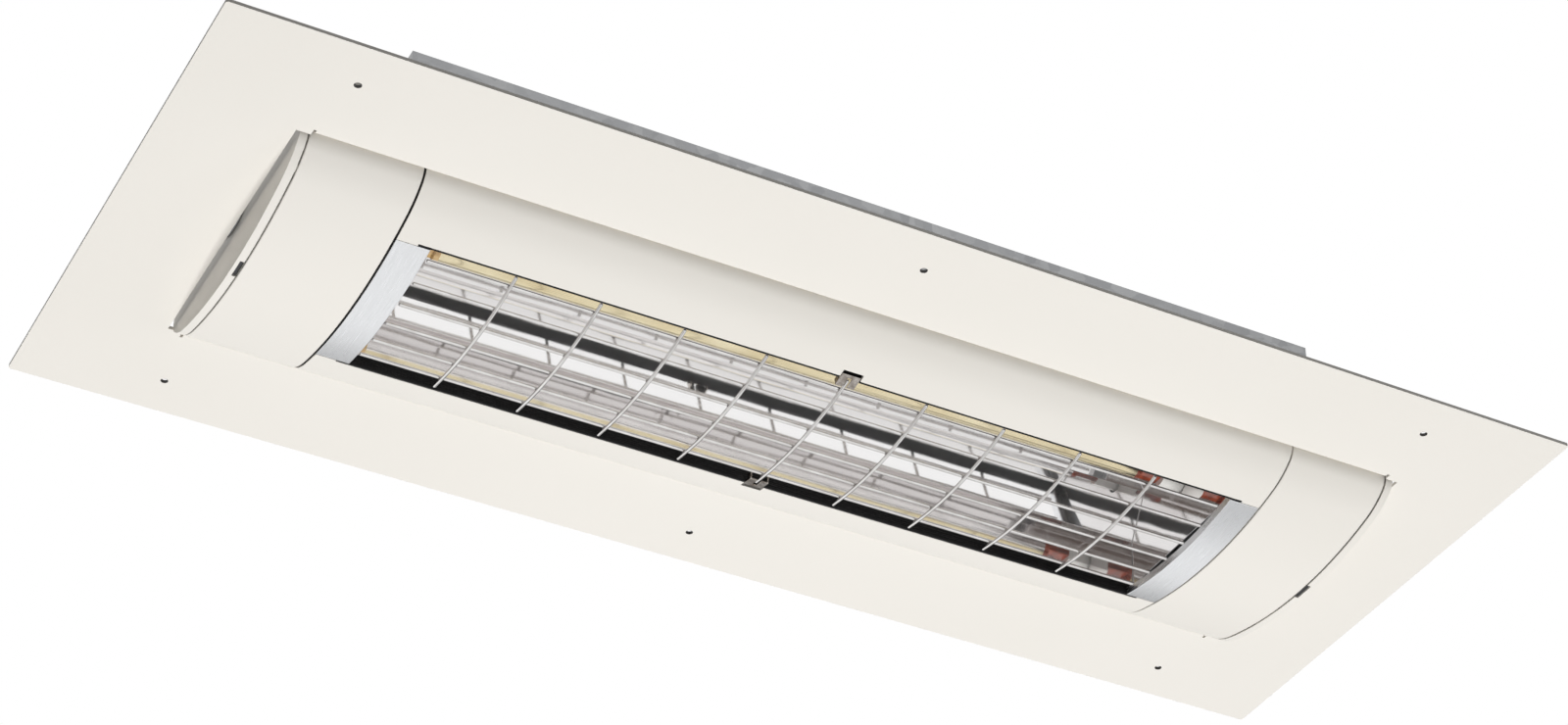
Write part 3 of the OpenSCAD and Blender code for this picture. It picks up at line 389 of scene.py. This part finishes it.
# %% Helpers for colour, gloss and relief
def finish(name, colour, roughness, metallic=0.0):
    """A new material with one surface shader, and its plain values."""
    material = bpy.data.materials.new(name)
    material.use_nodes = True
    surface = material.node_tree.nodes["Principled BSDF"]
    surface.inputs["Base Color"].default_value = (*colour, 1)
    surface.inputs["Roughness"].default_value = roughness
    surface.inputs["Metallic"].default_value = metallic
    return material, surface


def mix(material, share_of_b, a, b):
    """A colour between two, which are colours or sockets, by a share from 0 to 1."""
    mixer = node(material, "ShaderNodeMix", data_type="RGBA")
    join(material, share_of_b, mixer.inputs["Factor"])
    for socket, colour in ((mixer.inputs["A"], a), (mixer.inputs["B"], b)):
        if isinstance(colour, tuple):
            socket.default_value = (*colour, 1)
        else:
            join(material, colour, socket)
    return mixer.outputs["Result"]


def tone(material, surface, share_of_b, a, b):
    """Lets the colour change between two."""
    join(material, mix(material, share_of_b, a, b), surface.inputs["Base Color"])


def gloss(material, surface, value, low, high, *from_range):
    """Lets the roughness change between a low and a high one."""
    join(material, spread(material, value, low, high, *from_range), surface.inputs["Roughness"])


def relief(material, surface, height, depth):
    """Adds fine relief of a depth in metres to whatever relief the surface has."""
    bump = node(material, "ShaderNodeBump")
    bump.inputs["Distance"].default_value = depth
    join(material, height, bump.inputs["Height"])
    if surface.inputs["Normal"].links:
        join(material, surface.inputs["Normal"].links[0].from_socket, bump.inputs["Normal"])
    join(material, bump.outputs["Normal"], surface.inputs["Normal"])


def paint(material, *names):
    """Gives a finish to solid pieces by name."""
    for name in names:
        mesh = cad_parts[name].data
        mesh.materials.clear()
        mesh.materials.append(material)
    print(material.name, "on", len(names), "pieces")


print("helpers: finish, mix, tone, gloss, relief, paint")

# %% [markdown]
# The plate and the body are powder coated in one warm white. Powder melts into a skin that is never quite
# flat: at arm's length it is satin, and close up it has the low waves that painters call orange peel. Two
# sizes of noise make the waves, a third one changes the gloss a little, and a very wide one keeps the colour
# from being dead even.
# The six screw holes were punched after coating, and their walls are painted near black: bare steel darkened
# with painted shade, for the shade that falls inside the holes. No hole has to be named for that: the place
# of each point is snapped to a grid with the pitch of the holes, and whatever lies within a hole's radius of
# a grid point gets this painted shade.

# %% Cream powder coat
cream, skin = finish("cream_powder_coat", (0.86, 0.83, 0.775), 0.45)
coat = mix(cream, spread(cream, noise(cream, 5, 3), 0, 1), (0.868, 0.838, 0.784), (0.852, 0.822, 0.766))

hole_pitch_x, hole_pitch_y = 0.3205, 0.276
hole_r, hole_blur = 0.00215, 0.0001
# Near-black painted shade for the walls of the screw holes.
painted_hole_shade = (0.07, 0.065, 0.06)
shifted = vectors(cream, "ADD", spot(cream), (hole_pitch_x / 2, 0, 0))
snapped = vectors(cream, "SNAP", shifted, (hole_pitch_x, hole_pitch_y, 1))
hole_centre = vectors(cream, "ADD", snapped, (0, hole_pitch_y / 2, 0))
from_hole = vectors(cream, "SUBTRACT", spot(cream), hole_centre)
hole_reach = vectors(cream, "LENGTH", vectors(cream, "MULTIPLY", from_hole, (1, 1, 0)))
in_hole = spread(cream, hole_reach, 1, 0, hole_r - hole_blur, hole_r + hole_blur)

# The hole walls get the near-black painted shade here.
tone(cream, skin, in_hole, coat, painted_hole_shade)
gloss(cream, skin, noise(cream, 900), 0.38, 0.52)
relief(cream, skin, noise(cream, 420), 0.00003)
relief(cream, skin, noise(cream, 1600), 0.000012)
paint(
    cream, "frame_plate", "centre_housing", "end_sleeve_left", "end_sleeve_right", "end_cap_left",
    "end_cap_right",
)

# %% [markdown]
# The channel, the brackets and the bulkheads are zinc coated sheet. Hot zinc freezes into flat crystals, each
# a bit lighter or darker as it is tilted, which is called spangle. Cells of a Voronoi texture are the usual
# way to make them: the cell's random values shift colour and gloss together, and a wide noise smears them.

# %% Zinc coated sheet
zinc, zinc_skin = finish("zinc_sheet", (0.6, 0.61, 0.625), 0.42, 1.0)
crystals = node(zinc, "ShaderNodeTexVoronoi")
crystals.inputs["Scale"].default_value = 1
join(zinc, place(zinc, 150), crystals.inputs["Vector"])
crystal = node(zinc, "ShaderNodeSeparateColor")
join(zinc, crystals.outputs["Color"], crystal.inputs["Color"])
spangle = mix(zinc, crystal.outputs["Red"], (0.33, 0.335, 0.345), (0.39, 0.395, 0.4))
smear = spread(zinc, noise(zinc, (14, 60, 60), 4, 0.6), 0, 0.5, 0.4, 0.75)
tone(zinc, zinc_skin, smear, spangle, (0.3, 0.305, 0.31))
gloss(zinc, zinc_skin, crystal.outputs["Green"], 0.34, 0.52, 0, 1)
relief(zinc, zinc_skin, noise(zinc, 700, 3), 0.00002)
paint(
    zinc, "recess_channel", "end_bracket_left", "end_bracket_right", "pivot_disc_left",
    "pivot_disc_right", "bulkhead_left", "bulkhead_right", "heat_shield",
)

# %% [markdown]
# Rivets, screws and bolts are small, so their finish only has to look turned and handled. A fine noise
# stretched round the axis would need one texture per screw. A plain close noise in the gloss gives the same
# sparkle. The rivets and the cap screws are plated, and the two bolts that the body hangs on are blackened.

# %% Fixings
plated, plated_skin = finish("plated_fixings", (0.68, 0.67, 0.64), 0.3, 1.0)
gloss(plated, plated_skin, noise(plated, 2500), 0.2, 0.42)
tone(plated, plated_skin, spread(plated, noise(plated, 300), 0, 1), (0.7, 0.69, 0.66), (0.58, 0.57, 0.55))
relief(plated, plated_skin, noise(plated, 1800), 0.00001)
paint(plated, "channel_rivets", "bracket_rivets", "cap_screws")

blackened, blackened_skin = finish("black_oxide", (0.05, 0.05, 0.052), 0.42, 0.6)
worn = spread(blackened, noise(blackened, 500, 3), 0, 1, 0.45, 0.8)
tone(blackened, blackened_skin, worn, (0.045, 0.045, 0.048), (0.12, 0.115, 0.11))
relief(blackened, blackened_skin, noise(blackened, 1500), 0.000015)
paint(blackened, "pivot_bolts")

# %% [markdown]
# The curved plates at both ends of the window are bare aluminium with a satin grain. The grain of rolled
# sheet is a noise that is stretched a long way in one direction, here across the heater, and it goes into the
# colour, the gloss and a very shallow relief. The rounded edges from further up catch the light on their own.

# %% Satin aluminium
satin, satin_skin = finish("satin_aluminium", (0.72, 0.73, 0.755), 0.3, 1.0)
grain = noise(satin, (3200, 60, 400), 3, 0.6)
gloss(satin, satin_skin, grain, 0.24, 0.38)
tone(satin, satin_skin, spread(satin, grain, 0, 1), (0.92, 0.93, 0.945), (0.87, 0.88, 0.895))
relief(satin, satin_skin, grain, 0.000006)
paint(satin, "trim_left", "trim_right")

# %% [markdown]
# The trough is bright rolled aluminium, close to a mirror. What makes a sheet metal mirror look real is that
# it isn't flat: the folds pull the sheet, so reflections of straight wires come out as wavy strokes. A slow
# relief does that, with a faint rolling grain on top. Near the lamp the heat has tinted it a little, which
# follows the distance from the lamp's axis. It is a few hundredths short of full metal as well: used mirrors
# carry a thin haze of dust, and without it the black strips would be mirrored far too black.

# %% Mirror aluminium
lamp_low, lamp_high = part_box("lamp_tube")
lamp_axis = (lamp_low + lamp_high) / 2
clean_mirror = (0.91, 0.9, 0.897)
heat_tint = (0.85, 0.825, 0.82)
tint_full, tint_gone = 0.018, 0.034

mirror, mirror_skin = finish("mirror_aluminium", clean_mirror, 0.05, 0.93)
from_lamp = vectors(mirror, "SUBTRACT", spot(mirror), lamp_axis)
lamp_reach = vectors(mirror, "LENGTH", vectors(mirror, "MULTIPLY", from_lamp, (0, 1, 1)))
tone(mirror, mirror_skin, spread(mirror, lamp_reach, 1, 0, tint_full, tint_gone), clean_mirror, heat_tint)
gloss(mirror, mirror_skin, noise(mirror, (40, 900, 900), 3), 0.025, 0.055)
relief(mirror, mirror_skin, noise(mirror, (16, 34, 34), 1.5), 0.00008)
relief(mirror, mirror_skin, noise(mirror, (9, 1500, 1500)), 0.000001)
paint(mirror, "reflector", "end_mirror_left", "end_mirror_right")

# %% [markdown]
# The strips that line the window's long edges are black and finely ribbed. The ribs are real shapes already.
# The finish is a black anodised one: nearly no colour, a little gloss, and the faint lengthwise lines of the
# die that the strip was pressed through.

# %% Black liners
black_strip, strip_skin = finish("black_anodised", (0.008, 0.008, 0.009), 0.36)
strip_skin.inputs["Specular IOR Level"].default_value = 0.2
die_lines = noise(black_strip, (4, 2600, 2600))
gloss(black_strip, strip_skin, die_lines, 0.28, 0.46)
relief(black_strip, strip_skin, die_lines, 0.00001)
paint(black_strip, "liner_near", "liner_far")

# %% [markdown]
# The lamp is a quartz tube under a thin coat of gold, which sends the heat down. The coat is smooth like
# glass and a bit uneven in thickness, so it is a bright metal with a clear coat, and its colour drifts along
# the tube from pale to deeper gold. Only one side is coated. The other one, which the mirrors show, stays
# silvery: how far a point lies towards that side of the tube's axis decides which of the two it gets.

# %% Lamp tube
bare_side = (0, 0.72, 0.69)
coat_ends, bare_begins = -0.0005, 0.0008

gold, gold_skin = finish("gold_coat", (0.86, 0.74, 0.46), 0.16, 1.0)
gilt = mix(gold, spread(gold, noise(gold, (24, 90, 90), 3), 0, 1), (0.9, 0.81, 0.57), (0.77, 0.65, 0.4))
towards_bare = vectors(gold, "DOT_PRODUCT", vectors(gold, "SUBTRACT", spot(gold), lamp_axis), bare_side)
tone(gold, gold_skin, spread(gold, towards_bare, 0, 1, coat_ends, bare_begins), gilt, (0.96, 0.94, 0.93))
gloss(gold, gold_skin, noise(gold, (60, 300, 300), 3), 0.1, 0.24)
gold_skin.inputs["Coat Weight"].default_value = 0.6
gold_skin.inputs["Coat Roughness"].default_value = 0.04
relief(gold, gold_skin, noise(gold, (30, 200, 200)), 0.00002)
paint(gold, "lamp_tube")

# %% [markdown]
# The ends of the tube are pressed flat while hot, and there the quartz is stained: red brown at the right end
# and only amber at the left one, as the picture has it. Both ends are one piece, so the side decides the
# colour. Inside the tube runs the heating coil. It is too fine to model each turn, so a wave in its relief
# stands for them.

# %% Lamp ends and heating coil
burnt, burnt_skin = finish("red_brown_quartz", (0.3, 0.06, 0.03), 0.12)
baked = spread(burnt, noise(burnt, (160, 300, 300), 3), 0, 1)
amber = mix(burnt, baked, (0.72, 0.5, 0.22), (0.5, 0.3, 0.12))
red_brown = mix(burnt, baked, (0.42, 0.08, 0.035), (0.12, 0.035, 0.025))
tone(burnt, burnt_skin, right_half(burnt), amber, red_brown)
burnt_skin.inputs["Coat Weight"].default_value = 1
burnt_skin.inputs["Coat Roughness"].default_value = 0.03
relief(burnt, burnt_skin, noise(burnt, (220, 400, 400)), 0.00008)
paint(burnt, "lamp_pinches")

coil, coil_skin = finish("tungsten_coil", (0.3, 0.3, 0.31), 0.35, 1.0)
turns = node(coil, "ShaderNodeTexWave", bands_direction="X")
turns.inputs["Scale"].default_value = 1
join(coil, place(coil, 130), turns.inputs["Vector"])
relief(coil, coil_skin, turns.outputs["Fac"], 0.0004)
paint(coil, "lamp_filament")

# %% [markdown]
# Lamp bases, holders and the terminal block are fired ceramic: off white, dry, with a fine sandy skin and a
# few darker grains. One noise gives the sand, and a second one with a hard limit gives the grains.

# %% Ceramic
ceramic, ceramic_skin = finish("steatite_ceramic", (0.85, 0.83, 0.79), 0.55)
grains = spread(ceramic, noise(ceramic, 1400), 0, 1, 0.68, 0.74)
tone(ceramic, ceramic_skin, grains, (0.86, 0.845, 0.81), (0.6, 0.57, 0.52))
gloss(ceramic, ceramic_skin, noise(ceramic, 800, 3), 0.45, 0.65)
relief(ceramic, ceramic_skin, noise(ceramic, 1100, 3), 0.00004)
paint(ceramic, "lamp_bases", "lamp_holder_left", "lamp_holder_right", "terminal_block")

# %% [markdown]
# The guard is drawn steel wire with a bright plating. Drawing leaves lines along the wire, which a relief
# stretched along X and Y would have to follow round each bend. The wire is so thin that a close noise in the
# gloss reads the same, and heat has dulled it slightly in patches.

# %% Bright wire
bright, bright_skin = finish("bright_wire", (0.62, 0.61, 0.6), 0.14, 1.0)
patches = spread(bright, noise(bright, 90, 3), 0, 1)
tone(bright, bright_skin, patches, (0.82, 0.81, 0.8), (0.68, 0.66, 0.645))
gloss(bright, bright_skin, noise(bright, 700), 0.08, 0.2)
relief(bright, bright_skin, noise(bright, 1200), 0.00001)
paint(bright, *guard_wires)

# %% [markdown]
# The rest is small: nickel clips, brass contacts, steel springs, rubber seals, moulded plastic and the
# sleeves of the leads. They share one recipe, a pair of colours mixed by a noise, a gloss that wanders and a
# shallow relief. So one function makes them all, and one table holds the finishes.


# %% Small finishes
def small_finish(name, pale, deep, roughness, metallic, lumps, depth, *names):
    """A finish from two near colours, a range of roughness and a relief, for small pieces."""
    material, surface = finish(name, pale, sum(roughness) / 2, metallic)
    cloud = noise(material, lumps, 3)
    tone(material, surface, spread(material, cloud, 0, 1), pale, deep)
    gloss(material, surface, cloud, *roughness)
    relief(material, surface, noise(material, 3 * lumps), depth)
    paint(material, *names)
    return material, surface


small_finish(
    "brass", (0.78, 0.6, 0.28), (0.62, 0.45, 0.2), (0.2, 0.36), 1, 500, 0.00001,
    "contact_bush_left", "contact_bush_right", "contact_pin_left", "contact_pin_right",
    "terminal_screws", "earth_screw",
)
small_finish(
    "nickel_clips", (0.66, 0.62, 0.58), (0.24, 0.2, 0.17), (0.1, 0.22), 1, 240, 0.00002,
    "guard_clips",
)
small_finish(
    "spring_steel", (0.6, 0.6, 0.61), (0.45, 0.45, 0.47), (0.18, 0.3), 1, 700, 0.00001,
    "contact_spring_left", "contact_spring_right",
)
rubber, rubber_skin = small_finish(
    "black_rubber", (0.025, 0.025, 0.026), (0.045, 0.044, 0.042), (0.6, 0.8), 0, 600, 0.00004,
    "seam_gaskets", "lead_grommets",
)
small_finish(
    "grey_seal", (0.62, 0.6, 0.55), (0.54, 0.52, 0.48), (0.5, 0.7), 0, 600, 0.00003,
    "cap_gaskets",
)
small_finish(
    "black_plastic", (0.022, 0.022, 0.024), (0.032, 0.032, 0.034), (0.38, 0.5), 0, 900, 0.00003,
    "cable_gland", "gland_cap", "gland_locknut", "cap_latches",
)
sleeve_roughness = (0.45, 0.6)
sleeve_relief = 0.00003
for name, pale, deep, lumps, lead in (
    ("brown_sleeve", (0.25, 0.11, 0.05), (0.2, 0.085, 0.04), 400, "live_lead"),
    ("blue_sleeve", (0.06, 0.16, 0.45), (0.05, 0.13, 0.38), 400, "neutral_lead"),
    ("earth_sleeve", (0.3, 0.5, 0.07), (0.75, 0.65, 0.05), 60, "earth_lead"),
):
    small_finish(name, pale, deep, sleeve_roughness, 0, lumps, sleeve_relief, lead)

# %% [markdown]
# The picture shows the seam between the left sleeve and the housing black, and the right one pale. Both seals
# are one piece with one finish, so the same mask as at the lamp's ends lays a pale colour over the right one.

# %% Pale seal on the right
black = rubber_skin.inputs["Base Color"].links[0].from_socket
tone(rubber, rubber_skin, right_half(rubber), black, (0.7, 0.67, 0.61))
print("pale half on", rubber.name)

# %% [markdown]
# The wires of the guard are welded where they cross, and a bead of metal will sit on each crossing. The
# places could be typed in, but then they would be wrong as soon as the guard changed. So they are read from
# the wires: each piece falls apart into single wires, and the middle of each one gives its line.

# %% Find the crossings
import bmesh
import numpy as np


def loose_parts_centres(name, axis):
    """The middle of each separate wire of a piece along one axis, sorted."""
    work = bmesh.new()
    work.from_mesh(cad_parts[name].data)
    bmesh.ops.remove_doubles(work, verts=work.verts, dist=same_point)
    left, centres = set(work.verts), []
    while left:
        todo, part = [left.pop()], []
        while todo:
            vert = todo.pop()
            part.append(vert.co[axis])
            for edge in vert.link_edges:
                other = edge.other_vert(vert)
                if other in left:
                    left.discard(other)
                    todo.append(other)
        centres.append((min(part) + max(part)) / 2)
    work.free()
    return sorted(centres)


def underside(name, y, reach_m):
    """The lowest place of the wires of a piece that run within a reach of a line along X."""
    spots = np.array([v.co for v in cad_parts[name].data.vertices])
    return spots[np.abs(spots[:, 1] - y) < reach_m][:, 2].min()


cross_xs = loose_parts_centres("guard_cross_wires", 0)
long_ys = loose_parts_centres("guard_long_wires", 1)
print("wires:", len(cross_xs), "across and", len(long_ys), "along")

# %% [markdown]
# Each weld squeezes out a small collar of metal that is rounder and duller than the wire. The solid model
# only lets the wires sink into each other, so the collars are made here: one flattened, slightly uneven bead
# for each crossing, all in one mesh that moves with the guard. The uneven sizes are drawn at random from a
# fixed start, so that every run makes the same beads.

# %% Weld beads
import random

bead_r = 0.0013
bead_squash_share = 0.62
bead_lift = 0.0001
wire_reach = 0.0012

draw = random.Random(7)
beads = bmesh.new()
for y in long_ys:
    bead_z = underside("guard_long_wires", y, wire_reach) + bead_lift
    for x in cross_xs:
        size = bead_r * draw.uniform(0.92, 1.06)
        shape = (
            Matrix.Translation((x, y, bead_z))
            @ Matrix.Rotation(draw.uniform(0, math.pi), 4, "Z")
            @ Matrix.Diagonal((size, size * draw.uniform(0.9, 1.05), size * bead_squash_share, 1))
        )
        bmesh.ops.create_icosphere(beads, subdivisions=3, radius=1, matrix=shape)
bead_mesh = bpy.data.meshes.new("weld_beads")
beads.to_mesh(bead_mesh)
beads.free()
bead_mesh.polygons.foreach_set("use_smooth", [True] * len(bead_mesh.polygons))
weld_beads = bpy.data.objects.new("weld_beads", bead_mesh)
scene.collection.objects.link(weld_beads)
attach(weld_beads, "guard")

bead_finish, bead_skin = finish("weld_metal", (0.5, 0.48, 0.46), 0.3, 1.0)
gloss(bead_finish, bead_skin, noise(bead_finish, 900), 0.2, 0.42)
heat_marks = spread(bead_finish, noise(bead_finish, 600), 0, 1)
tone(bead_finish, bead_skin, heat_marks, (0.3, 0.28, 0.265), (0.13, 0.11, 0.1))
relief(bead_finish, bead_skin, noise(bead_finish, 1500), 0.00003)
bead_mesh.materials.append(bead_finish)
print("weld beads:", len(cross_xs) * len(long_ys))
